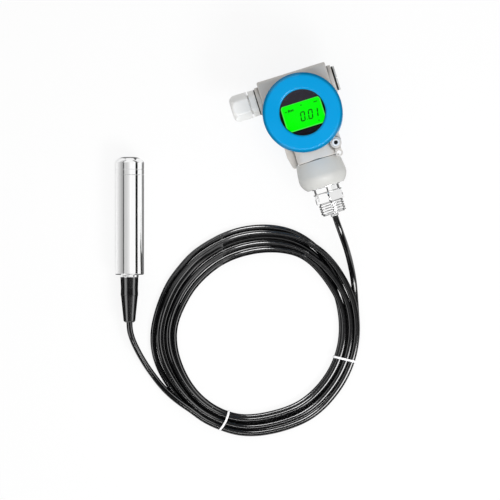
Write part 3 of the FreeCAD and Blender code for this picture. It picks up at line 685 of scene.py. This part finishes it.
def add_floor():
    shape = bmesh.new()
    bmesh.ops.create_grid(shape, x_segments=1, y_segments=1, size=3.0)
    floor = mesh_object("floor", shape)
    finish = Finish("white_floor")
    finish.principled(Base_Color=(0.95, 0.95, 0.95, 1), Roughness=0.9, Specular_IOR_Level=0.1)
    seen = finish.ray("Is Camera Ray")
    mirrored = finish.ray("Is Glossy Ray")
    through = finish.ray("Is Transmission Ray")
    darkness = 0.0
    for strip in floor_strips:
        darkness = finish.math("MAXIMUM", dark_strip(finish, *strip), darkness)
    darkness = mirrored * darkness
    glow = finish.node("ShaderNodeEmission", {"Color": (1, 1, 1, 1), "Strength": 1 - darkness})
    lit = Signal(finish, finish.shader.outputs[0])
    amount = seen * FLOOR_GLOW + (mirrored + through) * MIRROR_GLOW + darkness * (1 - MIRROR_GLOW)
    mixed = finish.node("ShaderNodeMixShader", {0: amount, 1: lit, 2: glow})
    finish.tree.links.new(mixed.socket, finish.tree.nodes["Material Output"].inputs["Surface"])
    floor.data.materials.append(finish.material)


add_floor()
print("floor with a glow of", FLOOR_GLOW)

# %% World
WORLD_LEVEL = 0.66


class Studio(Finish):
    """The world's nodes, made in the same way as those of a finish."""

    def __init__(self, name):
        self.world = bpy.data.worlds.new(name)
        self.world.use_nodes = True
        self.tree = self.world.node_tree
        self.shader = self.tree.nodes["Background"]


def add_world():
    """Pale room, lighter overhead. Mirrors see a dark one, a little paler overhead."""
    studio = Studio("studio")
    bpy.context.scene.world = studio.world
    direction = studio.node("ShaderNodeTexCoord", {}, output="Generated")
    height = studio.node("ShaderNodeSeparateXYZ", {0: direction}, output="Z")
    dark_room = 0.04 + 0.14 * studio.fade(height, 0.45, 0.75)
    pale_room = 0.55 + 0.6 * studio.fade(height, -0.1, 0.8)
    mirrored = studio.ray("Is Glossy Ray")
    seen = studio.ray("Is Camera Ray")
    through = studio.ray("Is Transmission Ray")
    diffuse = 1 - (mirrored + seen + through)
    strength = diffuse * pale_room * WORLD_LEVEL + mirrored * dark_room + seen + through
    studio.feed(studio.shader, {"Color": (1, 1, 1, 1), "Strength": strength})


add_world()
bpy.context.scene.view_settings.view_transform = "Standard"
print("world at a level of", WORLD_LEVEL)

# %% Lamps
picture_middle = Vector((-0.09, -0.11, 0.0))


def add_lamp(name, right, up, height, size, power, aim):
    """Soft box given by its distances from the middle of the picture, in metres."""
    place = picture_middle + VIEW_RIGHT * right + VIEW_UP * up + UP * height
    data = bpy.data.lights.new(name, "AREA")
    data.shape = "RECTANGLE"
    data.size, data.size_y = size
    data.energy = power
    lamp = bpy.data.objects.new(name, data)
    lamp.location = place
    lamp.rotation_euler = (Vector(aim) - place).to_track_quat("-Z", "Y").to_euler()
    bpy.context.collection.objects.link(lamp)
    return lamp


add_lamp("key_softbox", right=0.62, up=-0.62, height=0.95, size=(0.6, 0.3), power=6.6,
         aim=(-0.05, -0.08, 0.03))
fill = add_lamp("fill_softbox", right=0.05, up=-0.12, height=0.4, size=(0.3, 0.3), power=0.3,
                aim=(0.0, -0.05, 0.05))
fill.visible_glossy = False
glint = add_lamp("glint_softbox", right=-0.24, up=0.54, height=0.6, size=(0.5, 0.3), power=10.0,
                 aim=coil_centre * MM)
glint.light_linking.receiver_collection = bpy.data.collections.new("glossy_black_pieces")
glint.light_linking.receiver_collection.objects.link(cable)
print("three lamps")

# %% [markdown]
# ## Cards for the polished pieces
# Polished steel shows only what stands around it. A photographer of a steel tube therefore places black and
# grey cards beside it, which draw the dark lines that make it read as a round tube. The boot, the coil and
# the rim of the cover get cards too. A card is a strip bent round a line, mostly the piece's own axis.
# Cards are kept out of the picture and cast no shadow: only reflections see them.

# %% Making a card
CARD_STEPS = 6
hidden_rays = ("visible_camera", "visible_diffuse", "visible_transmission", "visible_shadow")


def add_card(name, start, end, radius, angles, level):
    """Strip round the line from start to end. Its angles count from straight up, positive to the right."""
    way = (end - start).normalized()
    first = math.radians(angles[0])
    sweep = math.radians(angles[1] - angles[0])
    offset = (UP.cross(way) * math.sin(first) + UP * math.cos(first)) * radius
    shape = bmesh.new()
    ends = [shape.verts.new((start + offset) * MM), shape.verts.new((end + offset) * MM)]
    edge = shape.edges.new(ends)
    bmesh.ops.spin(shape, geom=ends + [edge], cent=start * MM, axis=-way, angle=sweep, steps=CARD_STEPS)
    card = mesh_object(name, shape)
    for ray in hidden_rays:
        setattr(card, ray, False)
    finish = Finish(name)
    finish.principled(
        Base_Color=(0, 0, 0, 1),
        Emission_Color=(level, level, level, 1),
        Emission_Strength=1.0,
        Specular_IOR_Level=0.0)
    card.data.materials.append(finish.material)


# %% Cards
PROBE_TUBE = 117
tube_end = probe_nose + probe_way * PROBE_TUBE
# Ends of the line that a piece's cards go round, their borders in degrees and the brightness between them.
tube_ends = (probe_nose, tube_end)
tube_angles = [-99, -82, -72, -62, -53.5, -45.5, -36.5, -17, -9.5, -2, 5, 48, 66.5, 98]
tube_levels = [0.8, 0.68, 0.58, 0.48, 0.4, 0.1, 0.65, 0.71, 0.78, 0.88, 1.06, 0.01, 1.06]
nose_ends = (probe_nose - probe_way * 1200, probe_nose)
nose_angles = [-99, -70, -58, 66, 84, 98]
nose_levels = [0.7, 0.12, 0.98, 0.01, 0.9]
boot_ends = (tube_end, probe_nose + probe_way * 230)
boot_angles = [-98, -68, -58, -36, -26, 46, 54, 75]
boot_levels = [0.01, 1.2, 2.8, 1.2, 0.01, 1.2, 2.8]
fitting_ends = (Vector((0, -62, AXIS_HEIGHT)), Vector((0, -110, AXIS_HEIGHT)))
fitting_angles = [-88, -40, 0, 11, 40, 90]
fitting_levels = [1.05, 1.05, 0.02, 1.05, 0.88]
cover_ends = (Vector((0, 160, AXIS_HEIGHT)), Vector((0, -70, AXIS_HEIGHT)))
cover_top = Vector((0, 0, 90))
coil_top = coil_centre + UP * COIL_TOP
over_coil_ends = (coil_top - VIEW_RIGHT * 250, coil_top + VIEW_RIGHT * 200)
over_coil_angles = [-30, -4, 2, 6, 14]
over_coil_levels = [0.2, 0.3, 0.4, 0.5]
for piece, ends, radius, angles, levels in [
        ("tube", tube_ends, 90, tube_angles, tube_levels),
        ("nose", nose_ends, 90, nose_angles, nose_levels),
        ("boot", boot_ends, 100, boot_angles, boot_levels),
        ("fitting", fitting_ends, 110, fitting_angles, fitting_levels),
        ("over_coil", over_coil_ends, 600, over_coil_angles, over_coil_levels)]:
    for number, level in enumerate(levels):
        add_card(f"{piece}_card_{number}", *ends, radius, angles[number:number + 2], level)
add_card("nose_white", probe_nose - VIEW_RIGHT * 150, probe_nose + VIEW_RIGHT * 150,
         radius=280, angles=(50, 92), level=1.0)
add_card("cover_over", *cover_ends, radius=330, angles=(-26, 26), level=0.01)
add_card("rim_glint", cover_top - VIEW_RIGHT * 400, cover_top + VIEW_RIGHT * 1000,
         radius=900, angles=(-46, -24), level=14.0)
print("cards for tube, nose, boot, fitting, coil and cover")

# %% [markdown]
# ## Paint
# Housing, covers and adapter are painted. One flat colour would look like plastic, so the coat gets a faint
# mottle, a fine orange peel, paler edges that are partly a thin coat and partly a painted highlight, and
# painted shade in its inner corners. Sharp edges of the solids are rounded in the shading alone, by a Bevel
# node, which costs no geometry.


# %% Paint
def coat_of_paint(name, colour, edge_colour, roughness, peel, gloss, edge, colour_of=None):
    finish = Finish(name)
    where = finish.place()
    mottle = finish.noise(where, scale=60.0)
    grain = finish.noise(where, scale=1800.0)
    soft = finish.soft_edges(edge)
    coat = finish.blend(mottle, shade(colour, 0.96), shade(colour, 1.03))
    # Paler edges: partly a thin coat, partly a painted highlight.
    coat = finish.blend(finish.worn_and_highlit_edges(soft) * 0.5, coat, edge_colour)
    # Painted shade: inner corners are darkened towards a third of the colour.
    coat = finish.blend(finish.painted_corner_shade() * 0.8, coat, shade(colour, 0.3))
    return finish.principled(
        Base_Color=colour_of(finish, coat) if colour_of else coat,
        Roughness=roughness + 0.08 * (mottle - 0.5),
        Specular_IOR_Level=gloss,
        Normal=finish.bump(grain, strength=peel, distance=0.2 * MM, normal=soft))


def painted_rim_shade(finish, coat):
    """Painted shade: the front cover's chamfer is coloured darker, as a face that turns away from the light.
    """
    radius = finish.distance(finish.along("X"), finish.along("Y"))
    chamfer = finish.fade(radius, 35.0 * MM, 36.8 * MM)
    rim = chamfer * finish.fade(finish.along("Z"), 86.5 * MM, 87.5 * MM)
    return finish.blend(rim, coat, srgb(0, 118, 165))


# %% [markdown]
# ## Turned metal
# Probe, fitting and spacers come off a lathe, which leaves fine rings round their axis. A noise that is
# squeezed along the axis gives such rings, and it feeds brightness, roughness and bump. On the fitting,
# painted shade in the roots of the thread and on the hexagon's chamfer makes the fine forms easier to read.


# %% Turned metal
def turned_metal(name, direction, colour, roughness, colour_of=None):
    finish = Finish(name)
    turn = UP.rotation_difference(Vector(direction)).inverted().to_euler()
    squeezed = {"Vector": finish.place(), "Rotation": turn, "Scale": (40, 40, 4000)}
    rings = finish.noise(finish.node("ShaderNodeMapping", squeezed), scale=1.0, detail=3.0)
    brightness = finish.blend(rings, shade(colour, 0.95), shade(colour, 1.03))
    return finish.principled(
        Base_Color=colour_of(finish, brightness) if colour_of else brightness,
        Metallic=1.0,
        Roughness=roughness + 0.06 * (rings - 0.5),
        Normal=finish.bump(rings, strength=0.03, distance=0.1 * MM, normal=finish.soft_edges(0.3)))


# Colour of the painted shade in the thread's roots and on the hexagon's chamfer.
PAINTED_SHADE_COLOUR = (0.1, 0.1, 0.1, 1)


def painted_thread_shade(finish, brightness):
    """Painted shade in the roots of the thread and on the chamfer between collar and hexagon."""
    y = finish.along("Y")
    radius = finish.distance(finish.along("X"), finish.along("Z") - AXIS_HEIGHT * MM)
    threaded = finish.fade(y, (THREAD_FROM + 0.1) * MM, THREAD_FROM * MM)
    roots = finish.fade(radius, (THREAD_ROOT + 0.4) * MM, THREAD_ROOT * MM) * threaded
    cone = y - HEX_TOP * MM + (radius - HEX_FLATS / 2 * MM) * 0.58
    below_collar = finish.fade(y, (HEX_TOP + 0.3) * MM, HEX_TOP * MM)
    chamfer = finish.fade(cone, -0.4 * MM, -0.1 * MM) * below_collar
    return finish.blend(finish.math("MAXIMUM", roots * 0.35, chamfer * 0.75), brightness, PAINTED_SHADE_COLOUR)


# %% [markdown]
# ## Plastic and rubber
# Gland, plug, ties, seals, boot and cable jacket have one colour with a faint cloud in it and a fine grain.
# They differ in how rough and how glossy they are, so one function makes them all. The jacket is round
# everywhere and goes without the soft edges.


# %% Plastic and rubber
def moulded(name, colour, roughness, gloss=0.3, edge=0.4):
    finish = Finish(name)
    where = finish.place()
    cloud = finish.noise(where, scale=90.0)
    grain = finish.noise(where, scale=1500.0)
    soft = finish.soft_edges(edge) if edge else None
    return finish.principled(
        Base_Color=finish.blend(cloud, shade(colour, 0.94), shade(colour, 1.05)),
        Roughness=roughness * (0.88 + 0.24 * grain),
        Specular_IOR_Level=gloss,
        Normal=finish.bump(grain, strength=0.05, distance=0.1 * MM, normal=soft))


# %% [markdown]
# ## Glass, display and screws
# The window is thin and clear, so a low alpha with a faint gloss is enough, and no light has to be bent.
# The liquid crystal is lit from behind: its green field glows and ends in round corners, which a distance
# worked out from two coordinates draws. A dark disc of painted shade at the middle of each lock screw
# deepens its socket.


# %% Window glass
def clear_glass(name):
    finish = Finish(name)
    smear = finish.noise(finish.place(), scale=120.0)
    return finish.principled(
        Base_Color=(0.03, 0.04, 0.035, 1),
        Roughness=0.04 + 0.03 * smear,
        Alpha=0.05,
        Specular_IOR_Level=0.1)


# %% Display
FIELD_CENTRE = (0.3, -1.9)
FIELD_HALF = (19.5, 13.0)
FIELD_CORNER = 3.5


def lit_panel(name, colour, edge_colour):
    """Green field with round corners on a dark panel, a little paler along its border."""
    finish = Finish(name)
    cloud = finish.noise(finish.place(), scale=80.0)
    off = []
    for axis, middle, half in zip("XY", FIELD_CENTRE, FIELD_HALF):
        from_middle = finish.math("ABSOLUTE", finish.along(axis) - middle * MM, 0.0)
        off.append(from_middle - (half - FIELD_CORNER) * MM)
    outside = finish.distance(*(finish.math("MAXIMUM", value, 0.0) for value in off))
    inside = finish.math("MINIMUM", finish.math("MAXIMUM", *off), 0.0)
    beyond = outside + inside - FIELD_CORNER * MM
    field = finish.blend(cloud, shade(colour, 0.97), colour)
    field = finish.blend(finish.fade(beyond, -1.3 * MM, -0.2 * MM), field, edge_colour)
    glow = finish.blend(finish.fade(beyond, -0.1 * MM, 0.2 * MM), field, (0, 0, 0, 1))
    return finish.principled(
        Base_Color=(0, 0.01, 0, 1),
        Emission_Color=glow,
        Emission_Strength=1.1,
        Roughness=0.4,
        Specular_IOR_Level=0.05)


# %% Screws
socket_centres = [(21.7, -36.193), (-21.7, -36.193)]


def screw_metal(name):
    """Screw steel whose hexagon sockets are painted dark inside, as painted shade."""
    finish = Finish(name)
    scratch = finish.noise(finish.place(), scale=900.0, detail=3.0)
    colour = finish.blend(scratch, (0.62, 0.62, 0.63, 1), (0.74, 0.74, 0.75, 1))
    x, y = finish.along("X"), finish.along("Y")
    for centre_x, centre_y in socket_centres:
        distance = finish.distance(x - centre_x * MM, y - centre_y * MM)
        # Painted shade: the socket is coloured near black.
        socket = finish.fade(distance, 2.1 * MM, 1.8 * MM)
        colour = finish.blend(socket, colour, (0.008, 0.008, 0.008, 1))
    return finish.principled(Base_Color=colour, Metallic=0.4, Roughness=0.45 + 0.1 * (scratch - 0.5))


# %% [markdown]
# ## Dressing the part
# The record names a material slot for every piece of the frame. A dictionary from slot to finish therefore
# dresses them all in one loop. The pieces that were made above get theirs one by one, and the bush takes
# the fitting's.

# %% Finish of each slot
STEEL = (0.93, 0.93, 0.93, 1)
finishes = {
    "cast_grey": coat_of_paint(
        "cast_paint", srgb(206, 202, 197), srgb(224, 221, 217),
        roughness=0.45, peel=0.16, gloss=0.3, edge=0.8),
    "cover_blue": coat_of_paint(
        "blue_paint", srgb(0, 156, 221), srgb(10, 165, 228),
        roughness=0.16, peel=0.03, gloss=0.32, edge=1.6, colour_of=painted_rim_shade),
    "adapter_grey": coat_of_paint(
        "adapter_paint", srgb(199, 199, 196), srgb(217, 217, 214),
        roughness=0.5, peel=0.05, gloss=0.25, edge=0.5),
    "polished_steel": turned_metal("probe_steel", probe_way, STEEL, roughness=0.08),
    "screw_steel": screw_metal("screw_steel"),
    "glass": clear_glass("window_clear"),
    "lcd": lit_panel("lcd_green", (0.0, 1.0, 0.0, 1), (0.08, 0.82, 0.08, 1)),
    "backlight": moulded("diffuser", srgb(225, 245, 220), roughness=0.4),
    "bezel_dark": moulded("bezel_plastic", srgb(50, 42, 54), roughness=0.5, gloss=0.1),
    "board_green": moulded("board_lacquer", srgb(30, 105, 55), roughness=0.4),
    "spacer_brass": turned_metal("spacer_brass", (0, 0, 1), srgb(214, 180, 110), roughness=0.25),
    "terminal_plastic": moulded("terminal_plastic", srgb(45, 46, 48), roughness=0.5),
    "gland_plastic": moulded("gland_nylon", srgb(239, 239, 237), roughness=0.42),
    "plug_grey": moulded("plug_plastic", srgb(205, 206, 204), roughness=0.42),
    "rubber_black": moulded("seal_rubber", srgb(28, 28, 28), roughness=0.55, gloss=0.2),
    "boot_black": moulded("boot_rubber", srgb(3, 3, 4), roughness=0.14, gloss=1.0),
    "cable_black": moulded("cable_jacket", srgb(3, 3, 4), roughness=0.12, gloss=0.8, edge=0),
    "tie_white": moulded("tie_plastic", srgb(244, 244, 246), roughness=0.5),
}
print("finishes:", len(finishes))


# %% Give every piece its finish
def dress(piece, material):
    piece.data.materials.clear()
    piece.data.materials.append(material)


for subpart in frame["record"]["subparts"]:
    dress(nodes[subpart["node"]], finishes[subpart["material_slot"]])
fitting_steel = turned_metal("fitting_steel", fitting_axis, STEEL, roughness=0.1, colour_of=painted_thread_shade)
dress(fitting, fitting_steel)
dress(nodes["cable_bush"], fitting_steel)
dress(cable, finishes["cable_black"])
dress(ties, finishes["tie_white"])
dress(figures, moulded("figure_ink", srgb(8, 62, 6), roughness=0.5, gloss=0.05))
